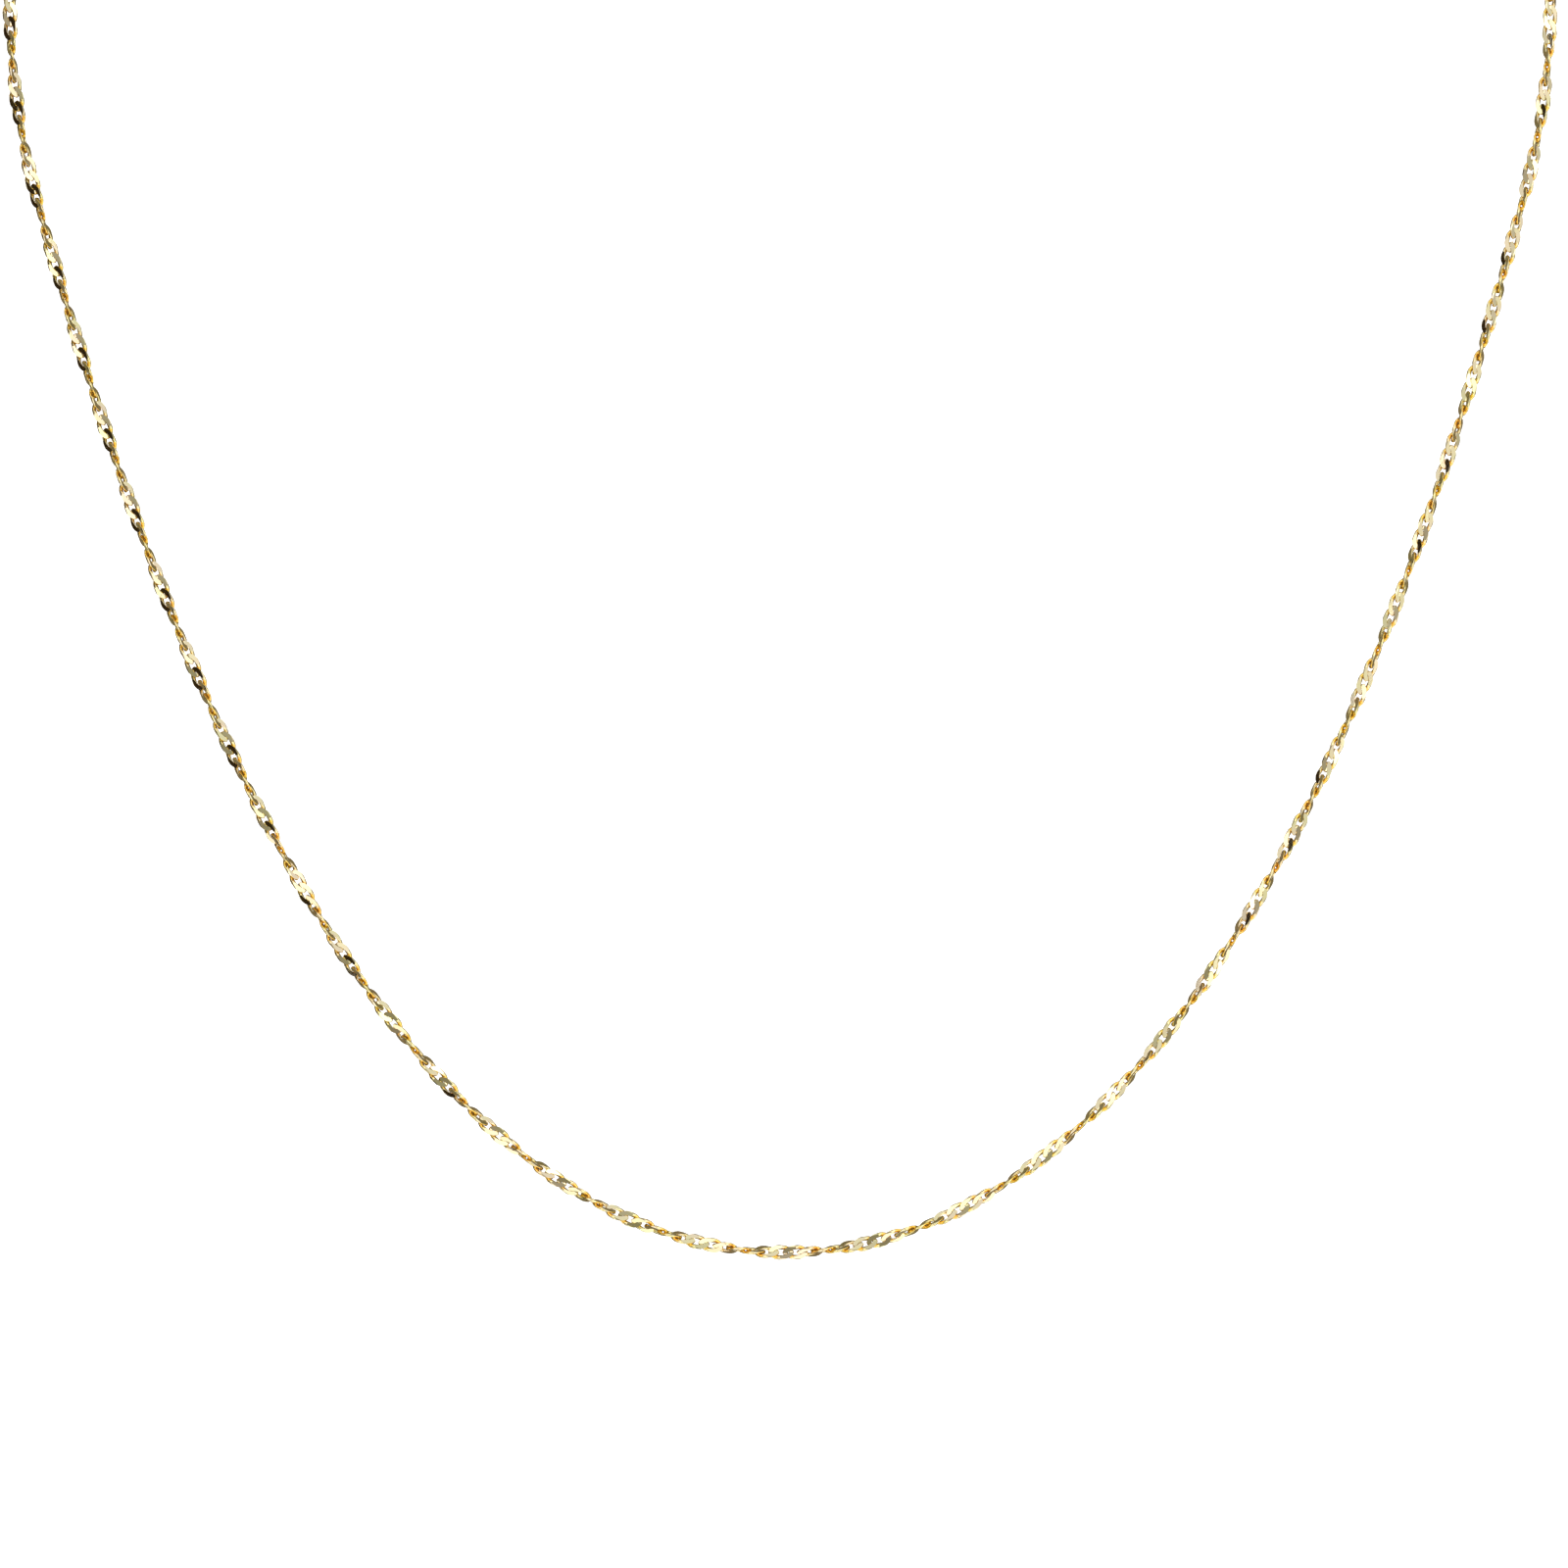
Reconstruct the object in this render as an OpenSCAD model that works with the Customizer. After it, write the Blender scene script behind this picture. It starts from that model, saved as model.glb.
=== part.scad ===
// Singapore chain necklace: a fine twisted chain in one closed loop, as it hangs round a neck.
// The front half hangs free from the shoulders, and a spring ring clasp closes the loop at the nape.
// Millimetres. X is to the right as seen from the front, the front faces -Y and Z is up.
// The origin is where the clasp rests on the nape.
// The loop is worked out on a flat sheet first: a hanging curve that runs smoothly into the
// round stretch that goes behind the neck. The sheet is then bent back over the shoulders.

/* [Loop] */
// Length of the whole closed loop, with the clasp and its rings
loop_length = 457.2; // [410:0.1:700]
// Width of the loop where it passes round the neck
neck_width = 126.4; // [112:0.1:140]
// Lean of the front stretch back from upright, in degrees
front_lean = 30; // [10:1:40]
// Climb of the back stretch above level, in degrees
nape_rise = 20; // [5:1:30]
// Radius of the bend over the shoulders
shoulder_radius = 45; // [15:1:55]

/* [Chain] */
// Width of the twisted chain across its links
chain_width = 1.35; // [1:0.05:1.8]
// Wire of the end link on each half of the chain
end_link_wire = 0.35; // [0.3:0.05:0.5]

/* [Clasp] */
// Outer diameter of the spring ring
clasp_diameter = 5.5; // [5:0.1:8]
// Thickness of the spring ring's tube
clasp_wire = 1.1; // [0.8:0.05:1.4]
// Wire of the clasp's eye
eye_wire = 0.5; // [0.4:0.05:0.8]
// Diameter of the thumb nub
nub_diameter = 0.6; // [0.4:0.05:0.8]
// How far the thumb nub stands out of the ring
nub_height = 0.7; // [0.4:0.05:1.2]
// Turn of the thumb nub up from the chain's line, in degrees
nub_angle = 50; // [30:1:90]

/* [Jump rings] */
// Wire of both jump rings
jump_ring_wire = 0.5; // [0.4:0.05:0.6]
// Room left inside each jump ring beside the two pieces that it joins
jump_ring_slack = 0.5; // [0.2:0.05:1.2]
// Play on each side of a jump ring in the hole that it passes through
ring_play = 0.2; // [0.15:0.05:0.4]
// Gap where one ring bears on another
link_gap = 0.1; // [0.05:0.01:0.12]

/* [Hidden] */

gold = [0.87, 0.69, 0.25];

// Sides of the chain's tube, and rings along each half of the chain
TUBE_SIDES = 8;
TUBE_RINGS = 40;
RING_FN = 96;
WIRE_FN = 48;
DEGREES = 180 / PI;

function asinh(x) = ln(x + sqrt(x * x + 1));

// The flat loop. Its hanging curve and its round stretch share a slope, join_angle, where they meet.
neck_radius = neck_width / 2;
half_loop = loop_length / 2;
function hanging_scale(slope) = neck_radius * sin(slope) / asinh(tan(slope));
function half_length(slope) =
    hanging_scale(slope) * tan(slope) + neck_radius * (180 - slope) / DEGREES;
function solve_slope(low, high, tries) =
    let (middle = (low + high) / 2)
    tries == 0 ? middle
    : half_length(middle) < half_loop ? solve_slope(middle, high, tries - 1)
    : solve_slope(low, middle, tries - 1);
join_angle = solve_slope(1, 89.9, 40);
hang = hanging_scale(join_angle);
hang_length = hang * tan(join_angle);
neck_level = sqrt(hang * hang + hang_length * hang_length) - hang + neck_radius * cos(join_angle);

// Slope, sideways place and height on the sheet, at a length along the loop from its lowest point
function slope_at(s) =
    s < hang_length ? atan(s / hang) : join_angle + (s - hang_length) / neck_radius * DEGREES;
function across_at(s) = s < hang_length ? hang * asinh(s / hang) : neck_radius * sin(slope_at(s));
function up_sheet_at(s) =
    s < hang_length ? sqrt(hang * hang + s * s) - hang : neck_level - neck_radius * cos(slope_at(s));

// The sheet's profile: straight up the front, round the shoulders and straight on to the nape
front_climb = 90 - front_lean;
bend_angle = front_climb - nape_rise;
bend_length = shoulder_radius * bend_angle / DEGREES;
bend_end = neck_level + bend_length;
function climb_at(v) =
    v < neck_level ? front_climb
    : v < bend_end ? front_climb - (v - neck_level) / shoulder_radius * DEGREES
    : nape_rise;
function ahead(climb) = [0, cos(climb), sin(climb)];
function bend_step(climb) =
    shoulder_radius * [0, sin(front_climb) - sin(climb), cos(climb) - cos(front_climb)];
function profile(v) =
    v < neck_level ? v * ahead(front_climb)
    : v < bend_end ? neck_level * ahead(front_climb) + bend_step(climb_at(v))
    : neck_level * ahead(front_climb) + bend_step(nape_rise) + (v - bend_end) * ahead(nape_rise);

// The clasp's inner side at the nape is the origin
nape = profile(neck_level + neck_radius) - clasp_wire / 2 * ahead(nape_rise);

// The fastening along the chain's line. Distances run from the nape and each way is positive.
through_hole = jump_ring_wire + 2 * ring_play;
function bearing(wire_a, wire_b) = (wire_a + wire_b) / 2 + link_gap;
function jump_ring_radius(held_wire) =
    (held_wire + end_link_wire + 2 * link_gap + jump_ring_slack + jump_ring_wire) / 2;

clasp_radius = (clasp_diameter - clasp_wire) / 2;
eye_radius = (through_hole + eye_wire) / 2;
end_link_radius = (through_hole + end_link_wire) / 2;
link_bearing = bearing(jump_ring_wire, end_link_wire);

eye_at = clasp_radius + clasp_wire / 2 + through_hole / 2;
clasp_jump_radius = jump_ring_radius(eye_wire);
clasp_jump_at = eye_at + eye_radius - bearing(eye_wire, jump_ring_wire) + clasp_jump_radius;
left_link_at = clasp_jump_at + clasp_jump_radius - link_bearing + end_link_radius;

end_jump_radius = jump_ring_radius(clasp_wire);
end_jump_at = clasp_radius - bearing(clasp_wire, jump_ring_wire) + end_jump_radius;
right_link_at = end_jump_at + end_jump_radius - link_bearing + end_link_radius;

// Places its children on the chain's line at a distance from the nape, to the right if positive:
// their X runs along the line, their Y away from the neck and their Z out of the sheet.
module along_nape(distance) {
    turn = distance / neck_radius * DEGREES;
    v = neck_level + neck_radius * cos(turn);
    translate([neck_radius * sin(turn), 0, 0] + profile(v) - nape)
        rotate([nape_rise, 0, 0])
            rotate([0, 0, -turn])
                children();
}

module flat_ring(radius, wire) {
    rotate_extrude($fn = RING_FN)
        translate([radius, 0])
            circle(d = wire, $fn = WIRE_FN);
}

module upright_ring(radius, wire) {
    rotate([90, 0, 0])
        flat_ring(radius, wire);
}

// One ring of the tube's points. The flats of the tube lie on the chain's full width.
function tube_ring(s) =
    let (
        v = up_sheet_at(s),
        climb = climb_at(v),
        out = [0, -sin(climb), cos(climb)],
        along = cos(slope_at(s)) * [1, 0, 0] + sin(slope_at(s)) * ahead(climb),
        side = cross(out, along),
        centre = [across_at(s), 0, 0] + profile(v) - nape,
        reach = chain_width / 2 / cos(180 / TUBE_SIDES)
    )
    [for (i = [0:TUBE_SIDES - 1])
        let (turn = 360 * (i + 0.5) / TUBE_SIDES)
        centre + reach * (cos(turn) * side + sin(turn) * out)];

// The tube of one half, on the +X side, from the lowest point to a distance from the nape
module half_tube(end_distance) {
    spacing = (half_loop - end_distance) / (TUBE_RINGS - 1);
    points = [for (k = [0:TUBE_RINGS - 1]) each tube_ring(k * spacing)];
    walls = [
        for (k = [0:TUBE_RINGS - 2])
            for (i = [0:TUBE_SIDES - 1])
                let (
                    j = (i + 1) % TUBE_SIDES,
                    near = k * TUBE_SIDES,
                    far = near + TUBE_SIDES
                )
                each [[near + i, far + i, near + j], [near + j, far + i, far + j]]
    ];
    last = (TUBE_RINGS - 1) * TUBE_SIDES;
    first_cap = [for (i = [0:TUBE_SIDES - 1]) i];
    last_cap = [for (i = [TUBE_SIDES - 1:-1:0]) last + i];
    polyhedron(points = points, faces = concat(walls, [first_cap, last_cap]));
}

module chain_left() {
    color(gold) {
        mirror([1, 0, 0])
            half_tube(left_link_at + end_link_radius);
        along_nape(-left_link_at)
            upright_ring(end_link_radius, end_link_wire);
    }
}

module chain_right() {
    color(gold) {
        half_tube(right_link_at + end_link_radius);
        along_nape(right_link_at)
            upright_ring(end_link_radius, end_link_wire);
    }
}

// The spring ring stands upright on the neck's skin, with its eye to the left
module clasp() {
    color(gold)
        along_nape(0) {
            upright_ring(clasp_radius, clasp_wire);
            translate([-eye_at, 0, 0])
                upright_ring(eye_radius, eye_wire);
            rotate([0, -nub_angle, 0])
                translate([clasp_radius, 0, 0])
                    rotate([0, 90, 0])
                        cylinder(d = nub_diameter, h = clasp_wire / 2 + nub_height, $fn = WIRE_FN);
        }
}

module clasp_jump_ring() {
    color(gold)
        along_nape(-clasp_jump_at)
            flat_ring(clasp_jump_radius, jump_ring_wire);
}

module end_jump_ring() {
    color(gold)
        along_nape(end_jump_at)
            flat_ring(end_jump_radius, jump_ring_wire);
}

chain_left();
chain_right();
clasp();
clasp_jump_ring();
end_jump_ring();
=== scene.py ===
import math
import random

import bmesh
import bpy
from bpy.props import FloatProperty, FloatVectorProperty, IntProperty, PointerProperty
from bpy.types import Operator, Panel, PropertyGroup
from mathutils import Matrix, Quaternion, Vector


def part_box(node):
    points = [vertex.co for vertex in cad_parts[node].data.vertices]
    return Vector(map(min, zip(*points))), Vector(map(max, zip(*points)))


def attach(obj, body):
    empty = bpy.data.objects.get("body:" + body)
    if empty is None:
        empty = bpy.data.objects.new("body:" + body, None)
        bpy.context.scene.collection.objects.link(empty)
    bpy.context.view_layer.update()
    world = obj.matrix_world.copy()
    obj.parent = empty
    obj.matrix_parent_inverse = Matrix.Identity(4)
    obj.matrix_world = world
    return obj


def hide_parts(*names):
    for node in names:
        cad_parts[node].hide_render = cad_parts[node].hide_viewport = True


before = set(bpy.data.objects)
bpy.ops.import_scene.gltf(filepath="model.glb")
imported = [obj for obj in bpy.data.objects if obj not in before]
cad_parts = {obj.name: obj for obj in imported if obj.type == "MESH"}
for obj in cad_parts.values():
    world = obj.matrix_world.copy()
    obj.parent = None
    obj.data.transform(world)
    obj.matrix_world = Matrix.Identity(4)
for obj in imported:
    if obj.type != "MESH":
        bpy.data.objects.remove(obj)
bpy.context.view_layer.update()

bl_info = {
    "name": "Singapore chain necklace",
    "version": (1, 0, 0),
    "blender": (4, 5, 0),
    "location": "3D View > Sidebar > Necklace",
    "description": "A fine twisted gold chain in one closed loop, with its clasp, on a pale stage",
    "category": "Add Mesh",
}

MM = 0.001
BODY = "root"
HALVES = {"left": -1, "right": 1}

# Half turns that the chain has made at a few places of each half, as the photo shows them:
# millimetres from the lowest point, half turns
TURNS = {
    "left": ((0.0, 0.0), (9.95, 1.5), (61.7, 9.5), (117.8, 17.5)),
    "right": ((0.0, 0.0), (3.5, 0.5), (27.2, 3.5), (53.4, 7.5), (93.75, 13.5), (123.6, 18.5)),
}
# Length of a half turn beyond the last of these places, in millimetres
HALF_TURN_LENGTH = 6.67

# How finely each bent wire is made: sections along it and sides round it
LINK_FINENESS = (12, 6)
END_LINK_FINENESS = (24, 8)
CLASP_FINENESS = (48, 16)
GATE_FINENESS = (16, 16)
EYE_FINENESS = (32, 12)
JUMP_RING_FINENESS = (40, 12)
NUB_SIDES = 16

# Places of the materials in the links' meshes; the crooks at the ends of each link carry painted reflection
WIRE, FLAT, CROOK_REFLECTION = range(3)

# The clasp's gate: how far past the thumb nub it starts, and how far each end laps into the ring
GATE_END = math.radians(4)
GATE_LAP = math.radians(8)

# The fine seam of a jump ring: how wide it is, and where the wire starts behind it
SEAM = math.radians(3)
SEAM_START = math.radians(70)

# How far the chain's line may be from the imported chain
LINE_TOLERANCE = 0.3 * MM

# The gold's noise: how often its clouds of colour and its polishing streaks repeat in a metre
CLOUD_SCALE = 700.0
STREAK_SCALE = 6000.0
# What its colour wavers between, as shares of its tint
ROSY = (1.0, 0.95, 1.0)
GREENISH = (0.95, 1.0, 0.84)
# How far its roughness wavers, and the depth and strength of its grain
ROUGHNESS_SPREAD = 0.3
GRAIN_DEPTH = 0.02 * MM
WIRE_GRAIN = 0.15
FLAT_GRAIN = 0.05

# The photo: pixels along each side, and the pixel of the chain's lowest point
PHOTO_SIDE = 1600
LOWEST_PIXEL = (802.7, 1277.9)
SENSOR_WIDTH = 36.0

# The room dims towards the camera's side, from where a way has the first share of it to the second
CAMERA_SIDE = (0.0, -0.94, -0.34)
DIMMING = (-0.1, 0.8)
DIM_TINT = (1.0, 0.93, 0.70)
PALE_GLOW = (1.0, 0.97, 0.90)


def length(name, description, default):
    return FloatProperty(name=name, description=description, default=default, min=0.0, precision=5,
                         subtype="DISTANCE", unit="LENGTH")


def angle(name, description, default):
    return FloatProperty(name=name, description=description, default=math.radians(default),
                         subtype="ANGLE", unit="ROTATION")


def share(name, description, default):
    return FloatProperty(name=name, description=description, default=default, min=0.0, max=1.0,
                         subtype="FACTOR")


def colour(name, description, default):
    return FloatVectorProperty(name=name, description=description, default=default, size=3,
                               min=0.0, max=1.0, subtype="COLOR")


class LoopSizes(PropertyGroup):
    loop_length: length("Loop length", "Length of the whole closed loop with its clasp", 0.4572)
    neck_width: length("Neck width", "Width of the loop where it passes round the neck", 0.1264)
    front_lean: angle("Front lean", "Lean of the front stretch back from upright", 30)
    nape_rise: angle("Nape rise", "Climb of the back stretch above level", 20)
    shoulder_radius: length("Shoulder radius", "Radius of the bend over the shoulders", 0.045)


class LinkSizes(PropertyGroup):
    wire: length("Wire", "Diameter of the wire of one link", 0.00042)
    width: length("Width", "Outer width of one link", 0.00133)
    pitch: length("Pitch", "Distance from one link to the next", 0.001161)
    gap: length("Gap", "Gap where one link bears on the next", 0.00015)
    twist: angle("Twist", "Left-handed twist from one end of a link to the other", 95)
    flat_depth: length("Flat", "Distance of the diamond-cut flats from the middle of a link", 0.00018)
    flat_slant: angle("Flat slant", "Slope of the flats from the middle of a link towards its edges", 6)
    edge_slant: angle("Edge slant", "Slope of the narrow cuts along a link's edges", 35)
    edge_start: length("Edge start", "How far from the middle of a link its edge cuts start", 0.00045)
    # Painted reflection: this length at each end of a link gets a deeper orange that stands in for light
    # bounced between links
    crook_reflection_reach: length("Crook", "Length of the deeper gold at each end of a link", 0.00064)
    oval: share("Oval", "How far the long sides of a link bulge, from straight to a plain oval", 0.6)
    wander: angle("Wander", "How far a link may turn from its even place", 3)


class ClaspSizes(PropertyGroup):
    diameter: length("Diameter", "Outer diameter of the spring ring", 0.0055)
    tube: length("Tube", "Thickness of the spring ring's tube", 0.0011)
    gate: length("Gate", "Thickness of the sliding gate", 0.0008)
    gate_arc: angle("Gate arc", "How much of the ring the gate closes", 62)
    eye_wire: length("Eye wire", "Wire of the clasp's eye", 0.0005)
    nub: length("Nub", "Diameter of the thumb nub", 0.0006)
    nub_height: length("Nub height", "How far the thumb nub stands out of the ring", 0.0007)
    nub_angle: angle("Nub angle", "Turn of the thumb nub up from the chain's line", 50)
    ring_wire: length("Ring wire", "Wire of both jump rings", 0.0005)
    ring_slack: length("Ring slack", "Room left inside each jump ring", 0.0005)
    ring_play: length("Ring play", "Play beside a jump ring in the hole it passes through", 0.0002)
    link_gap: length("Link gap", "Gap where one ring bears on another", 0.0001)
    end_wire: length("End link wire", "Wire of the end link on each half", 0.00035)


class GoldLook(PropertyGroup):
    wire_colour: colour("Wire", "Colour of the drawn gold wire", (0.92, 0.78, 0.44))
    # Painted reflection: the crooks' deeper orange stands in for light bounced between the links; it is not a
    # different gold
    crook_reflection_colour: colour("Crooks", "Colour of the wire where links meet, deepened by its reflections",
                         (1.0, 0.68, 0.18))
    # Painted shade: the flats are the same gold as the wire; their darker, paler tint is painted, not a
    # different alloy
    flat_shade_colour: colour("Flats", "Colour of the diamond-cut flats", (0.82, 0.73, 0.50))
    wire_roughness: share("Wire roughness", "Roughness of the drawn wire", 0.16)
    flat_roughness: share("Flat roughness", "Roughness of the diamond-cut flats", 0.05)


class StageLook(PropertyGroup):
    floor_colour: colour("Floor", "Colour of the pale floor", (0.93, 0.925, 0.915))
    floor_drop: length("Floor drop", "Height of the necklace above the floor", 0.06)
    photo_scale: length("Photo scale", "Real length that one pixel of the photo shows", 0.0000804)
    roll: angle("Roll", "Turn of the picture to the left", 0.3)
    lens: FloatProperty(name="Lens", description="Focal length in millimetres", default=120.0)
    world_strength: FloatProperty(name="Room", description="Brightness of the room", default=0.95)
    room_shade: FloatProperty(name="Shade", description="Brightness of the room on the camera's side",
                              default=0.31)
    key_radiance: FloatProperty(name="Key", description="Brightness of the soft light at the right front",
                                default=0.6)
    top_radiance: FloatProperty(name="Overhead", description="Brightness of the soft light overhead",
                                default=4.0)
    ring_radiance: FloatProperty(name="Ring",
                                 description="Brightness of the pale ring round the camera",
                                 default=1.75)
    ring_turn: angle("Ring turn", "How far from the camera's way of looking the pale ring stands", 26)
    ring_span: angle("Ring span", "How wide the pale ring looks from the necklace", 12)
    dark_card: colour("Dark card", "Colour of the dark card at the left front", (0.028, 0.018, 0.009))
    warm_card: colour("Warm card", "Colour of the warm card behind the chain's front", (0.20, 0.17, 0.11))


class Necklace(PropertyGroup):
    loop: PointerProperty(type=LoopSizes)
    link: PointerProperty(type=LinkSizes)
    clasp: PointerProperty(type=ClaspSizes)
    gold: PointerProperty(type=GoldLook)
    stage: PointerProperty(type=StageLook)
    seed: IntProperty(name="Seed", description="Start of the small differences between links", default=7)


def ahead(climb):
    """The way back over the sheet where it climbs at this angle."""
    return Vector((0.0, math.cos(climb), math.sin(climb)))


def outward(climb):
    """The way out of the sheet where it climbs at this angle."""
    return Vector((0.0, -math.sin(climb), math.cos(climb)))


class ChainLine:
    """The line that the chain follows: a hanging curve that runs into a round stretch behind the neck,
    on a flat sheet that is bent back over the shoulders. Distances run along it from its lowest point,
    to the right if positive."""

    def __init__(self, loop, clasp):
        self.radius = loop.neck_width / 2
        self.half = loop.loop_length / 2
        self.bend_radius = loop.shoulder_radius
        self.front_climb = math.pi / 2 - loop.front_lean
        self.nape_climb = loop.nape_rise
        self.join = self.solve_join()
        self.hang = self.hanging_scale(self.join)
        self.hang_length = self.hang * math.tan(self.join)
        join_height = math.hypot(self.hang, self.hang_length) - self.hang
        self.neck_level = join_height + self.radius * math.cos(self.join)
        self.bend_length = self.bend_radius * (self.front_climb - self.nape_climb)
        # Places are measured from the nape, so the nape itself is first measured from the lowest point
        self.nape = Vector((0.0, 0.0, 0.0))
        self.nape = self.on_sheet(0.0, self.back_level()) - clasp.tube / 2 * ahead(self.nape_climb)

    def back_level(self):
        """How far up the sheet the middle of the loop's back is."""
        return self.neck_level + self.radius

    def hanging_scale(self, slope):
        """How wide the hanging curve is that joins the round stretch at a slope."""
        return self.radius * math.sin(slope) / math.asinh(math.tan(slope))

    def solve_join(self):
        """The slope that the hanging curve and the round stretch share where they meet."""
        low, high = math.radians(1), math.radians(89.9)
        for _ in range(60):
            middle = (low + high) / 2
            hanging = self.hanging_scale(middle) * math.tan(middle)
            too_short = hanging + self.radius * (math.pi - middle) < self.half
            low, high = (middle, high) if too_short else (low, middle)
        return low

    def climb(self, up):
        """How steep the sheet is at a distance up it."""
        bent = min(max(up - self.neck_level, 0.0), self.bend_length)
        return self.front_climb - bent / self.bend_radius

    def on_sheet(self, across, up):
        """A place on the bent sheet, from its distances across and up the sheet."""
        climb = self.climb(up)
        flat = min(up, self.neck_level)
        beyond = max(up - self.neck_level - self.bend_length, 0.0)
        bend = self.bend_radius * (outward(climb) - outward(self.front_climb))
        place = flat * ahead(self.front_climb) + bend + beyond * ahead(self.nape_climb)
        return Vector((across, 0.0, 0.0)) + place - self.nape

    def frame_at(self, distance):
        """A place on the line: X across the chain in the sheet, Y out of the sheet and Z along the chain."""
        run = abs(distance)
        if run < self.hang_length:
            slope = math.atan(run / self.hang)
            across = self.hang * math.asinh(run / self.hang)
            up = math.hypot(self.hang, run) - self.hang
        else:
            slope = self.join + (run - self.hang_length) / self.radius
            across = self.radius * math.sin(slope)
            up = self.neck_level - self.radius * math.cos(slope)
        side = math.copysign(1.0, distance)
        climb = self.climb(up)
        out = outward(climb)
        along = Vector((math.cos(slope), 0.0, 0.0)) + side * math.sin(slope) * ahead(climb)
        axes = Matrix((out.cross(along), out, along)).transposed()
        return Matrix.Translation(self.on_sheet(side * across, up)) @ axes.to_4x4()

    def frame_from_nape(self, distance):
        """The same from the middle of the back, to the right if positive. Z runs along the line there."""
        return self.frame_at(self.half - distance if distance > 0 else -self.half - distance)

    def nape_frame(self):
        """The nape: X along the line to the right, Y away from the neck and Z out of the sheet."""
        centre = self.on_sheet(0.0, self.back_level())
        return Matrix.Translation(centre) @ Matrix.Rotation(self.nape_climb, 4, "X")


class Fastening:
    """Where the clasp, the jump rings and the end links lie, measured from the nape."""

    def __init__(self, clasp):
        hole = clasp.ring_wire + 2 * clasp.ring_play
        self.ring = (clasp.diameter - clasp.tube) / 2
        self.eye = (hole + clasp.eye_wire) / 2
        self.end = (hole + clasp.end_wire) / 2
        self.eye_at = self.ring + clasp.tube / 2 + hole / 2
        link_bearing = (clasp.ring_wire + clasp.end_wire) / 2 + clasp.link_gap

        def jump_ring(held):
            return (held + clasp.end_wire + 2 * clasp.link_gap + clasp.ring_slack + clasp.ring_wire) / 2

        def bearing(held):
            return (held + clasp.ring_wire) / 2 + clasp.link_gap

        self.left_ring = jump_ring(clasp.eye_wire)
        self.left_ring_at = self.eye_at + self.eye - bearing(clasp.eye_wire) + self.left_ring
        self.right_ring = jump_ring(clasp.tube)
        self.right_ring_at = self.ring - bearing(clasp.tube) + self.right_ring
        self.end_at = {
            "left": self.left_ring_at + self.left_ring - link_bearing + self.end,
            "right": self.right_ring_at + self.right_ring - link_bearing + self.end,
        }


def wire_ring(radius, wire, fineness, arc=2 * math.pi, start=0.0):
    """A bmesh of round wire bent round the Y axis, closed or over an arc with capped ends."""
    sections, sides = fineness
    bm = bmesh.new()
    bmesh.ops.create_circle(bm, radius=wire / 2, segments=sides,
                            matrix=Matrix.Rotation(math.pi / sides, 4, "Z"))
    bmesh.ops.translate(bm, verts=bm.verts, vec=(radius, 0.0, 0.0))
    bmesh.ops.rotate(bm, verts=bm.verts, matrix=Matrix.Rotation(start, 3, "Y"))
    closed = arc >= 2 * math.pi
    if not closed:
        first = bm.edges[:]
        bmesh.ops.edgeloop_fill(bm, edges=first)
    section = bm.verts[:] + bm.edges[:]
    spun = bmesh.ops.spin(bm, geom=section, axis=(0.0, 1.0, 0.0), angle=arc, steps=sections,
                          use_merge=closed, use_duplicate=False)
    if not closed:
        last = [part for part in spun["geom_last"] if isinstance(part, bmesh.types.BMEdge)]
        bmesh.ops.edgeloop_fill(bm, edges=last)
    bmesh.ops.recalc_face_normals(bm, faces=bm.faces)
    return bm


def link_half_length(link):
    """Half the length of a link along the middle of its wire, so that each link bears on the next."""
    return (link.pitch + link.wire + link.gap) / 2


def link_template(link):
    """A mesh of one link: a long ring of round wire in the XZ plane, twisted about Z and cut flat on
    both faces."""
    half_width = (link.width - link.wire) / 2
    half_length = link_half_length(link)
    step = 2 * math.pi / LINK_FINENESS[0]
    bm = wire_ring(half_width, link.wire, LINK_FINENESS, start=step / 2)
    sections = {}
    for vertex in bm.verts:
        turn = math.atan2(vertex.co.z, vertex.co.x)
        sections.setdefault(math.floor(turn / step), []).append(vertex)
    stretch = half_length - half_width
    for index, vertices in sections.items():
        turn = (index + 0.5) * step
        end = stretch * (link.oval * math.sin(turn) + (1 - link.oval) * math.copysign(1, math.sin(turn)))
        height = end + half_width * math.sin(turn)
        twist = Matrix.Rotation(-link.twist / 2 * height / half_length, 3, "Z")
        bmesh.ops.translate(bm, verts=vertices, vec=(0.0, 0.0, end))
        bmesh.ops.rotate(bm, verts=vertices, matrix=twist)
    for face in bm.faces:
        face.smooth = True
        # Faces at each end of a link, where it bears on the next, get painted reflection: a deeper orange for
        # light bounced between links
        if abs(face.calc_center_median().z) > half_length + link.wire / 2 - link.crook_reflection_reach:
            face.material_index = CROOK_REFLECTION
    edge_depth = math.cos(link.edge_slant) * link.flat_depth + math.sin(link.edge_slant) * link.edge_start
    cuts = [(side, slant * way, depth)
            for slant, depth in ((link.flat_slant, link.flat_depth), (link.edge_slant, edge_depth))
            for side in (1, -1) for way in (1, -1)]
    for side, slant, depth in cuts:
        normal = Matrix.Rotation(slant, 3, "Z") @ Vector((0.0, side, 0.0))
        cut = bmesh.ops.bisect_plane(bm, geom=bm.verts[:] + bm.edges[:] + bm.faces[:], dist=link.wire * 0.001,
                                     plane_co=normal * depth, plane_no=normal, clear_outer=True)
        rims = [part for part in cut["geom_cut"] if isinstance(part, bmesh.types.BMEdge)]
        for face in bmesh.ops.edgeloop_fill(bm, edges=rims)["faces"]:
            face.material_index = FLAT
            face.smooth = False
    bmesh.ops.recalc_face_normals(bm, faces=bm.faces)
    mesh = bpy.data.meshes.new("link_template")
    bm.to_mesh(mesh)
    bm.free()
    return mesh


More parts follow.
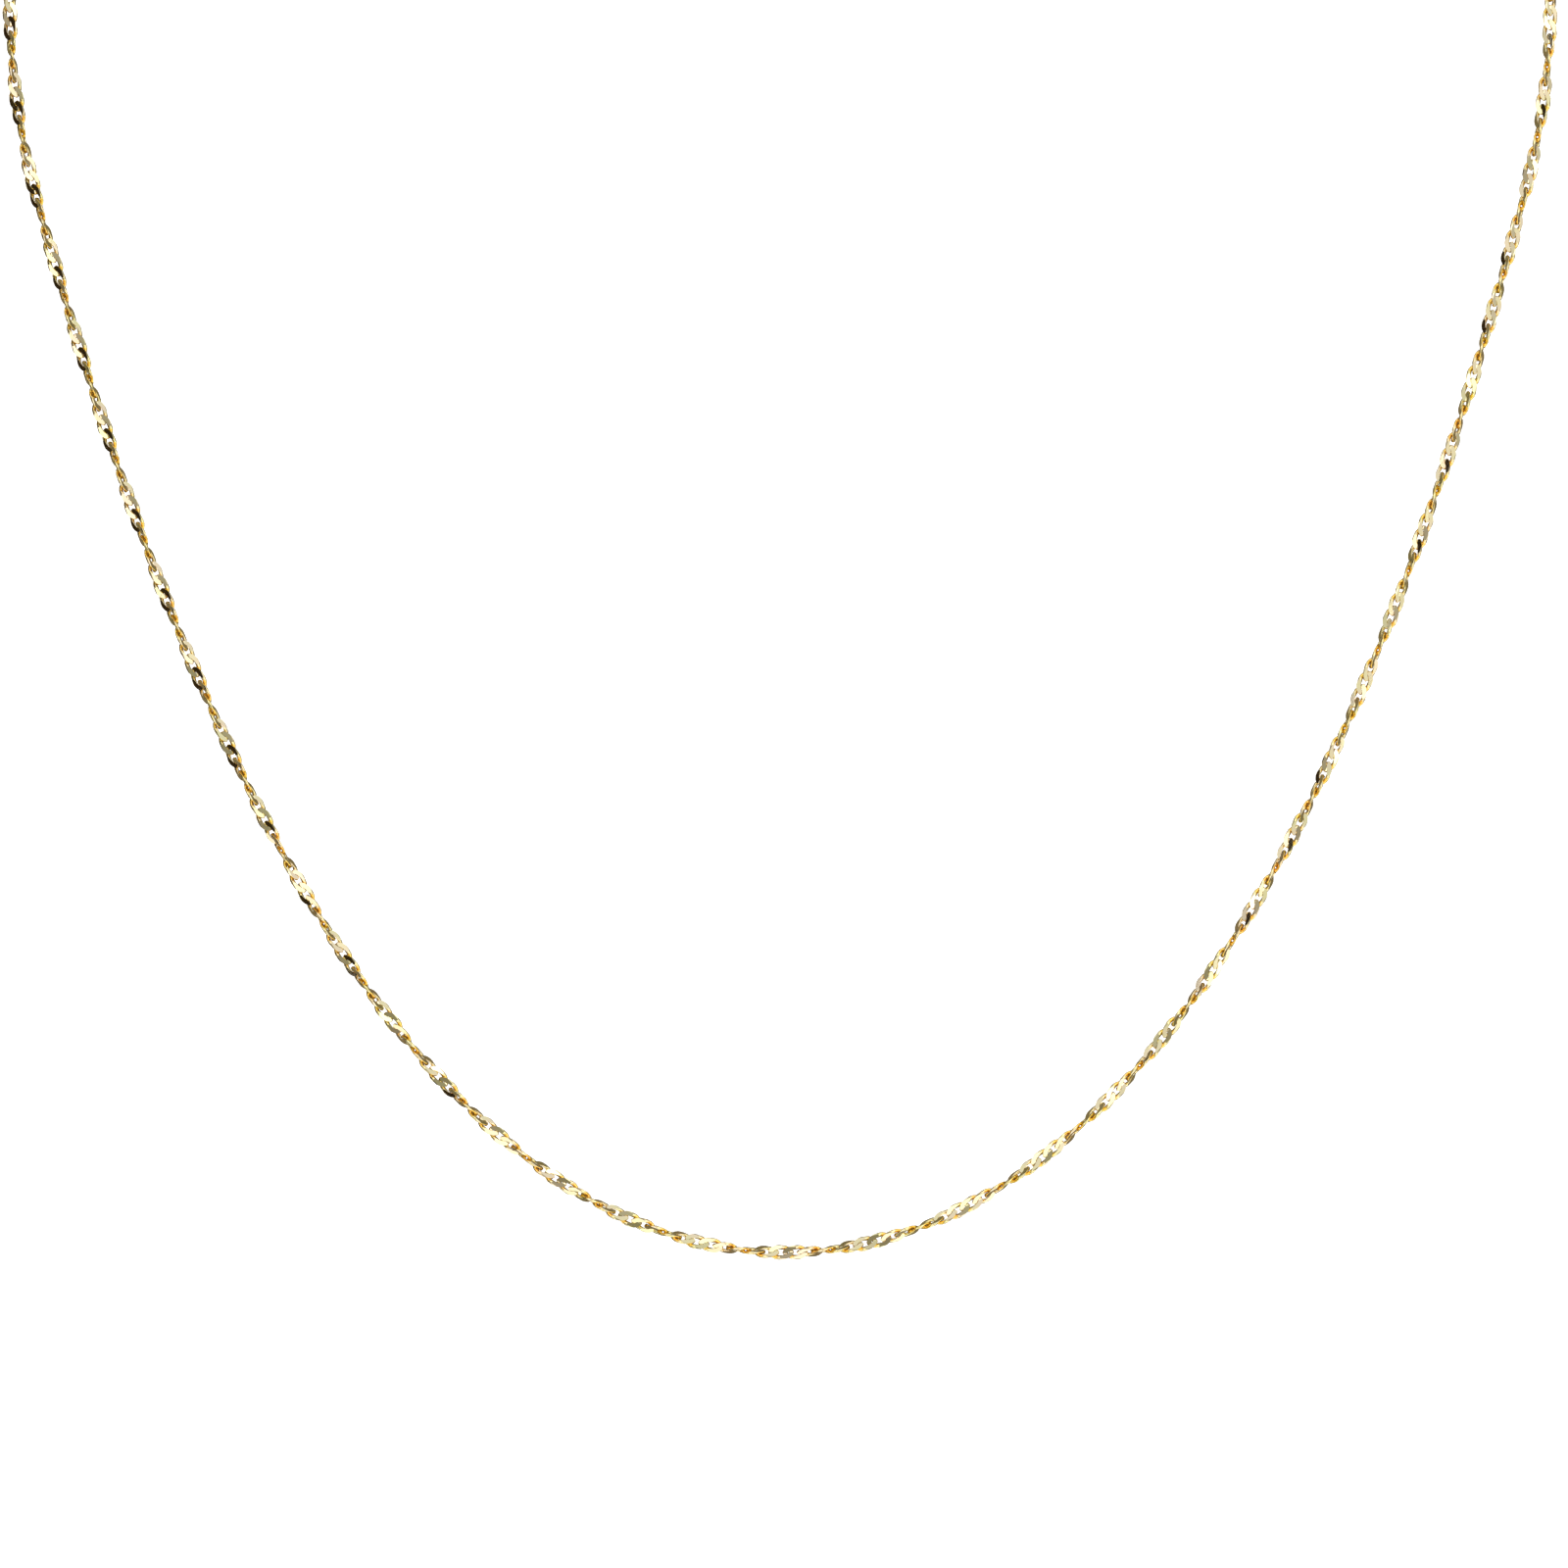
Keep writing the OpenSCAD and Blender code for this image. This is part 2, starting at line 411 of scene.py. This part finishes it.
def add_mesh(bm, mesh, place):
    """Adds a copy of a mesh to a bmesh at a place."""
    before = len(bm.verts)
    bm.from_mesh(mesh)
    bm.verts.ensure_lookup_table()
    bmesh.ops.transform(bm, matrix=place, verts=bm.verts[before:])


def add_bmesh(bm, part, place):
    """Adds a bmesh to another at a place, with its four-sided faces smooth, and frees it."""
    for face in part.faces:
        face.smooth = len(face.verts) == 4
    mesh = bpy.data.meshes.new("part")
    part.to_mesh(mesh)
    part.free()
    add_mesh(bm, mesh, place)
    bpy.data.meshes.remove(mesh)


def add_object(name, bm, materials):
    """Makes a bmesh an object, and frees it."""
    mesh = bpy.data.meshes.new(name)
    bm.to_mesh(mesh)
    bm.free()
    for material in materials:
        mesh.materials.append(material)
    made = bpy.data.objects.new(name, mesh)
    bpy.context.scene.collection.objects.link(made)
    return made


def piece(name, bm, materials, node):
    """Makes a bmesh a piece of the necklace that stands for a node."""
    made = add_object(name, bm, materials)
    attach(made, BODY)
    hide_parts(node)


def half_turns(half, distance, last, fit):
    """Half turns of the chain made at a distance. They end on a turn that fits the last link to its end
    link."""
    stations = [(place * MM, turns) for place, turns in TURNS[half]]
    reach, turns = stations[-1]
    natural = turns + (last - reach) / (HALF_TURN_LENGTH * MM)
    stations.append((last, round(natural - fit) + fit))
    for (near, near_turns), (far, far_turns) in zip(stations, stations[1:]):
        if distance <= far or far == last:
            return near_turns + (far_turns - near_turns) * (distance - near) / (far - near)


def gold(name, tint, roughness, grain):
    """Polished gold: fine streaks in its roughness, a colour that wavers from rosy to greenish and a
    shallow grain."""
    material = bpy.data.materials.get(name)
    if material:
        return material
    material = bpy.data.materials.new(name)
    material.use_nodes = True
    tree = material.node_tree
    shader = tree.nodes["Principled BSDF"]
    shader.inputs["Metallic"].default_value = 1.0

    place = tree.nodes.new("ShaderNodeTexCoord")
    cloud = tree.nodes.new("ShaderNodeTexNoise")
    cloud.inputs["Scale"].default_value = CLOUD_SCALE
    cloud.inputs["Detail"].default_value = 2.0
    tree.links.new(place.outputs["Object"], cloud.inputs["Vector"])

    shades = tree.nodes.new("ShaderNodeValToRGB")
    shades.color_ramp.elements[0].position = 0.35
    shades.color_ramp.elements[1].position = 0.65
    for element, shade in zip(shades.color_ramp.elements, (ROSY, GREENISH)):
        element.color = (*(channel * factor for channel, factor in zip(tint, shade)), 1.0)
    tree.links.new(cloud.outputs["Fac"], shades.inputs["Fac"])
    tree.links.new(shades.outputs["Color"], shader.inputs["Base Color"])

    streaks = tree.nodes.new("ShaderNodeTexNoise")
    streaks.inputs["Scale"].default_value = STREAK_SCALE
    streaks.inputs["Detail"].default_value = 3.0
    tree.links.new(place.outputs["Object"], streaks.inputs["Vector"])
    polish = tree.nodes.new("ShaderNodeMapRange")
    polish.inputs["To Min"].default_value = roughness * (1 - ROUGHNESS_SPREAD)
    polish.inputs["To Max"].default_value = roughness * (1 + ROUGHNESS_SPREAD)
    tree.links.new(streaks.outputs["Fac"], polish.inputs["Value"])
    tree.links.new(polish.outputs["Result"], shader.inputs["Roughness"])

    bump = tree.nodes.new("ShaderNodeBump")
    bump.inputs["Strength"].default_value = grain
    bump.inputs["Distance"].default_value = GRAIN_DEPTH
    tree.links.new(streaks.outputs["Fac"], bump.inputs["Height"])
    tree.links.new(bump.outputs["Normal"], shader.inputs["Normal"])
    return material


def wire_gold(look):
    return gold("drawn_wire_gold", look.wire_colour, look.wire_roughness, WIRE_GRAIN)


def link_golds(look):
    """The materials of the links, in the order of their places WIRE, FLAT and the crooks: the drawn wire, the
    diamond-cut flats, whose tint is painted shade, and the crooks, whose deeper orange is painted reflection.
    """
    return (wire_gold(look), gold("diamond_cut_gold_painted_shade", look.flat_shade_colour, look.flat_roughness, FLAT_GRAIN),
            gold("crook_painted_reflection_gold", look.crook_reflection_colour, look.wire_roughness, WIRE_GRAIN))


class NECKLACE_OT_chain(Operator):
    """Make both halves of the twisted chain, link by link, with the end link of each"""
    bl_idname = "necklace.chain"
    bl_label = "Twisted chain"
    bl_options = {"REGISTER", "UNDO"}

    def execute(self, context):
        sizes = context.scene.necklace
        line = ChainLine(sizes.loop, sizes.clasp)
        fastening = Fastening(sizes.clasp)
        link = sizes.link
        check_line(line, link)
        template = link_template(link)
        half_length = link_half_length(link)
        bearing = (link.wire + sizes.clasp.end_wire) / 2 + link.gap
        last = {half: line.half - fastening.end_at[half] - fastening.end + bearing - half_length
                for half in HALVES}
        links = round((last["left"] + last["right"]) / link.pitch)
        pitch = (last["left"] + last["right"]) / links
        draws = random.Random(sizes.seed)
        fit = link.twist / 2 / math.pi
        chains = {half: bmesh.new() for half in HALVES}
        for index in range(links + 1):
            distance = index * pitch - last["left"]
            half = "left" if distance < 0 else "right"
            side = HALVES[half]
            turn = side * math.pi * half_turns(half, abs(distance), last[half], fit)
            turn += draws.uniform(-link.wander, link.wander)
            add_mesh(chains[half], template, line.frame_at(distance) @ Matrix.Rotation(turn, 4, "Z"))
        for half, side in HALVES.items():
            end_link = wire_ring(fastening.end, sizes.clasp.end_wire, END_LINK_FINENESS)
            place = line.frame_from_nape(side * fastening.end_at[half])
            upright = place @ Matrix.Rotation(math.pi / 2, 4, "Z")
            add_bmesh(chains[half], end_link, upright)
            piece(f"links_{half}", chains[half], link_golds(sizes.gold), f"chain_{half}")
        bpy.data.meshes.remove(template)
        return {"FINISHED"}


def check_line(line, link):
    """Stops if the line isn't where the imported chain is."""
    low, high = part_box("chain_right")
    reach = link.width / 2
    bottom = line.frame_at(0.0).translation
    widest = line.frame_at(line.hang_length + (math.pi / 2 - line.join) * line.radius).translation
    slips = (abs(bottom.z - low.z - reach), abs(bottom.y - low.y - reach), abs(high.x - widest.x - reach))
    if max(slips) > LINE_TOLERANCE:
        raise RuntimeError(f"the chain's line isn't where the packed chain is, by {max(slips) / MM:.2f} mm")


class NECKLACE_OT_clasp(Operator):
    """Make the spring ring clasp, with its gate, thumb nub and eye"""
    bl_idname = "necklace.clasp"
    bl_label = "Spring ring clasp"
    bl_options = {"REGISTER", "UNDO"}

    def execute(self, context):
        sizes = context.scene.necklace
        clasp = sizes.clasp
        line = ChainLine(sizes.loop, clasp)
        fastening = Fastening(clasp)
        # The ring stands upright, so its own axis is across the chain's line
        upright = line.nape_frame()
        bm = bmesh.new()
        opening = GATE_END - clasp.nub_angle
        body = wire_ring(fastening.ring, clasp.tube, CLASP_FINENESS, arc=2 * math.pi - clasp.gate_arc,
                         start=opening)
        add_bmesh(bm, body, upright)
        gate = wire_ring(fastening.ring, clasp.gate, GATE_FINENESS, arc=clasp.gate_arc + 2 * GATE_LAP,
                         start=opening - GATE_LAP - clasp.gate_arc)
        add_bmesh(bm, gate, upright)
        eye = wire_ring(fastening.eye, clasp.eye_wire, EYE_FINENESS)
        add_bmesh(bm, eye, upright @ Matrix.Translation((-fastening.eye_at, 0.0, 0.0)))
        add_bmesh(bm, self.nub(clasp, fastening), upright)
        piece("spring_ring", bm, (wire_gold(sizes.gold),), "clasp")
        return {"FINISHED"}

    @staticmethod
    def nub(clasp, fastening):
        """The thumb nub: a short round post with a rounded head."""
        bm = bmesh.new()
        tall = clasp.tube / 2 + clasp.nub_height
        bmesh.ops.create_cone(bm, cap_ends=True, segments=NUB_SIDES, radius1=clasp.nub / 2,
                              radius2=clasp.nub / 2, depth=tall)
        bmesh.ops.translate(bm, verts=bm.verts, vec=(0.0, 0.0, tall / 2))
        head = [edge for edge in bm.edges if all(vertex.co.z > tall * 0.99 for vertex in edge.verts)]
        bmesh.ops.bevel(bm, geom=head, offset=clasp.nub * 0.3, segments=4, profile=0.5, affect="EDGES",
                        material=-1)
        out = Matrix.Rotation(math.pi / 2 - clasp.nub_angle, 4, "Y")
        bmesh.ops.transform(bm, verts=bm.verts, matrix=out @ Matrix.Translation((0.0, 0.0, fastening.ring)))
        return bm


class NECKLACE_OT_jump_rings(Operator):
    """Make the two jump rings, each with its fine seam"""
    bl_idname = "necklace.jump_rings"
    bl_label = "Jump rings"
    bl_options = {"REGISTER", "UNDO"}

    def execute(self, context):
        sizes = context.scene.necklace
        clasp = sizes.clasp
        line = ChainLine(sizes.loop, clasp)
        fastening = Fastening(clasp)
        rings = {
            "clasp_jump_ring": (-fastening.left_ring_at, fastening.left_ring),
            "end_jump_ring": (fastening.right_ring_at, fastening.right_ring),
        }
        for node, (distance, radius) in rings.items():
            bm = bmesh.new()
            ring = wire_ring(radius, clasp.ring_wire, JUMP_RING_FINENESS, arc=2 * math.pi - SEAM,
                             start=SEAM_START)
            add_bmesh(bm, ring, line.frame_from_nape(distance))
            piece(node + "_wire", bm, (wire_gold(sizes.gold),), node)
        return {"FINISHED"}


class NECKLACE_OT_stage(Operator):
    """Make the pale floor, the soft lights, the room and the camera"""
    bl_idname = "necklace.stage"
    bl_label = "Stage"
    bl_options = {"REGISTER", "UNDO"}

    def execute(self, context):
        sizes = context.scene.necklace
        stage = sizes.stage
        line = ChainLine(sizes.loop, sizes.clasp)
        self.floor(stage, line)
        self.room(context.scene, stage)
        self.camera(context.scene, sizes, line)
        self.lights(stage, line)
        self.cards(stage, line)
        context.scene.view_settings.view_transform = "Standard"
        return {"FINISHED"}

    @staticmethod
    def floor(stage, line):
        bm = bmesh.new()
        lowest = line.frame_at(0.0).translation
        bmesh.ops.create_circle(bm, cap_ends=True, segments=64, radius=3.0,
                                matrix=Matrix.Translation((0.0, 0.0, lowest.z - stage.floor_drop)))
        floor = add_object("floor", bm, (matt("pale_floor", stage.floor_colour),))

    @staticmethod
    def room(scene, stage):
        """A room that is white behind the necklace and overhead, and dimmer on the camera's side."""
        world = bpy.data.worlds.new("room")
        scene.world = world
        world.use_nodes = True
        tree = world.node_tree
        sky = tree.nodes["Background"]
        way = tree.nodes.new("ShaderNodeTexCoord")
        facing = tree.nodes.new("ShaderNodeVectorMath")
        facing.operation = "DOT_PRODUCT"
        facing.inputs[1].default_value = CAMERA_SIDE
        tree.links.new(way.outputs["Generated"], facing.inputs[0])
        edge = tree.nodes.new("ShaderNodeMapRange")
        edge.interpolation_type = "SMOOTHSTEP"
        edge.inputs["From Min"].default_value, edge.inputs["From Max"].default_value = DIMMING
        tree.links.new(facing.outputs["Value"], edge.inputs["Value"])
        mix = tree.nodes.new("ShaderNodeMix")
        mix.data_type = "RGBA"
        mix.inputs["A"].default_value = (1.0, 1.0, 1.0, 1.0)
        mix.inputs["B"].default_value = (*(stage.room_shade * part for part in DIM_TINT), 1.0)
        tree.links.new(edge.outputs["Result"], mix.inputs["Factor"])
        tree.links.new(mix.outputs["Result"], sky.inputs["Color"])
        sky.inputs["Strength"].default_value = stage.world_strength

    @staticmethod
    def camera(scene, sizes, line):
        """Looks square on the front of the sheet, at the place that the photo's middle shows."""
        stage = sizes.stage
        # From the chain's lowest point, across and up the sheet
        middle = Vector((PHOTO_SIDE / 2 - LOWEST_PIXEL[0], LOWEST_PIXEL[1] - PHOTO_SIDE / 2))
        middle *= stage.photo_scale
        middle.rotate(Matrix.Rotation(-stage.roll, 2))
        data = bpy.data.cameras.new("camera")
        data.lens = stage.lens
        data.sensor_width = SENSOR_WIDTH
        distance = stage.lens / data.sensor_width * PHOTO_SIDE * stage.photo_scale
        back = outward(line.front_climb)
        camera = bpy.data.objects.new("camera", data)
        camera.location = line.on_sheet(middle.x, middle.y) + back * distance
        camera.rotation_mode = "QUATERNION"
        level = (-back).to_track_quat("-Z", "Y")
        camera.rotation_quaternion = level @ Quaternion((0.0, 0.0, 1.0), -stage.roll)
        data.clip_start = 0.01
        data.clip_end = 20.0
        scene.collection.objects.link(camera)
        scene.camera = camera

    @staticmethod
    def lights(stage, line):
        """A soft light overhead and one at the right front, placed from the middle of the chain's front.
        The gold mirrors only the one at the right front."""
        middle = line.on_sheet(0.0, line.neck_level / 2)
        key = Vector((0.145, 0.0, 0.0)) + 0.20 * outward(line.front_climb)
        overhead = Vector((0.0, 0.1, 0.9))
        for name, offset, wide, tall, radiance in (
            ("key", key, 0.21, 0.26, stage.key_radiance),
            ("overhead", overhead, 0.8, 0.8, stage.top_radiance),
        ):
            data = bpy.data.lights.new(name, "AREA")
            data.shape = "RECTANGLE"
            data.size = wide
            data.size_y = tall
            data.energy = radiance * math.pi * wide * tall
            light = bpy.data.objects.new(name, data)
            light.location = middle + offset
            light.rotation_euler = (-offset).to_track_quat("-Z", "Y").to_euler()
            light.visible_camera = False
            light.visible_glossy = name == "key"
            bpy.context.scene.collection.objects.link(light)

    @staticmethod
    def cards(stage, line):
        """Cards that only the gold sees: a dark one at the left front, which gives the flats there their dark
        shine, a warm one behind the chain's front, and a pale ring round the camera, which turns the flats
        that face it cream."""
        middle = line.on_sheet(0.0, line.neck_level / 2)
        across = Vector((1.0, 0.0, 0.0))
        rise = ahead(line.front_climb)
        out = outward(line.front_climb)
        near_edge = -0.091 * across + 0.085 * out
        far_edge = -0.330 * across + 0.030 * out
        for name, centre, run, height, tint in (
            ("dark_card", (near_edge + far_edge) / 2, far_edge - near_edge, 0.30, stage.dark_card),
            ("warm_card", -0.015 * out, 0.60 * across, 0.60, stage.warm_card),
        ):
            bm = bmesh.new()
            bmesh.ops.create_grid(bm, x_segments=1, y_segments=1, size=0.5)
            way = run.normalized()
            axes = Matrix((way, rise, way.cross(rise))).transposed().to_4x4()
            bmesh.ops.transform(bm, verts=bm.verts, matrix=Matrix.Translation(middle + centre) @ axes
                                @ Matrix.Diagonal((run.length, height, 1.0, 1.0)))
            card(name, bm, matt(name, tint))
        ring_distance = 0.3
        bm = bmesh.new()
        for turn in (stage.ring_turn - stage.ring_span / 2, stage.ring_turn + stage.ring_span / 2):
            bmesh.ops.create_circle(bm, segments=48, radius=ring_distance * math.tan(turn))
        bmesh.ops.bridge_loops(bm, edges=bm.edges)
        axes = Matrix((across, rise, out)).transposed().to_4x4()
        bmesh.ops.transform(bm, verts=bm.verts,
                            matrix=Matrix.Translation(middle + ring_distance * out) @ axes)
        card("ring_light", bm, glowing("ring_glow", PALE_GLOW, stage.ring_radiance))


def card(name, bm, material):
    """Makes a bmesh a card of the stage that only the gold sees."""
    made = add_object(name, bm, (material,))
    made.visible_camera = False
    made.visible_diffuse = False
    made.visible_shadow = False


def glowing(name, tint, radiance):
    """A material that gives light."""
    material = matt(name, (0.0, 0.0, 0.0))
    shader = material.node_tree.nodes["Principled BSDF"]
    shader.inputs["Emission Color"].default_value = (*tint, 1.0)
    shader.inputs["Emission Strength"].default_value = radiance
    return material


def matt(name, tint):
    """A matt material."""
    material = bpy.data.materials.new(name)
    material.use_nodes = True
    shader = material.node_tree.nodes["Principled BSDF"]
    shader.inputs["Base Color"].default_value = (*tint, 1.0)
    shader.inputs["Roughness"].default_value = 1.0
    shader.inputs["Specular IOR Level"].default_value = 0.0
    return material


class NECKLACE_PT_panel(Panel):
    """Lists the necklace's sizes and the pieces that can be made"""
    bl_label = "Singapore chain"
    bl_idname = "NECKLACE_PT_panel"
    bl_space_type = "VIEW_3D"
    bl_region_type = "UI"
    bl_category = "Necklace"

    def draw(self, context):
        sizes = context.scene.necklace
        for title, group in (("Loop", sizes.loop), ("Link", sizes.link), ("Clasp", sizes.clasp),
                             ("Gold", sizes.gold), ("Stage", sizes.stage)):
            box = self.layout.box()
            box.label(text=title)
            for name in group.__annotations__:
                box.prop(group, name)
        self.layout.prop(sizes, "seed")
        for operator in OPERATORS:
            self.layout.operator(operator.bl_idname)


OPERATORS = (NECKLACE_OT_chain, NECKLACE_OT_clasp, NECKLACE_OT_jump_rings, NECKLACE_OT_stage)
CLASSES = (LoopSizes, LinkSizes, ClaspSizes, GoldLook, StageLook, Necklace) + OPERATORS + (NECKLACE_PT_panel,)


def register():
    for cls in CLASSES:
        bpy.utils.register_class(cls)
    bpy.types.Scene.necklace = PointerProperty(type=Necklace)


def unregister():
    del bpy.types.Scene.necklace
    for cls in reversed(CLASSES):
        bpy.utils.unregister_class(cls)


def main():
    register()
    bpy.ops.necklace.chain()
    bpy.ops.necklace.clasp()
    bpy.ops.necklace.jump_rings()
    bpy.ops.necklace.stage()


if __name__ == "__main__":
    main()
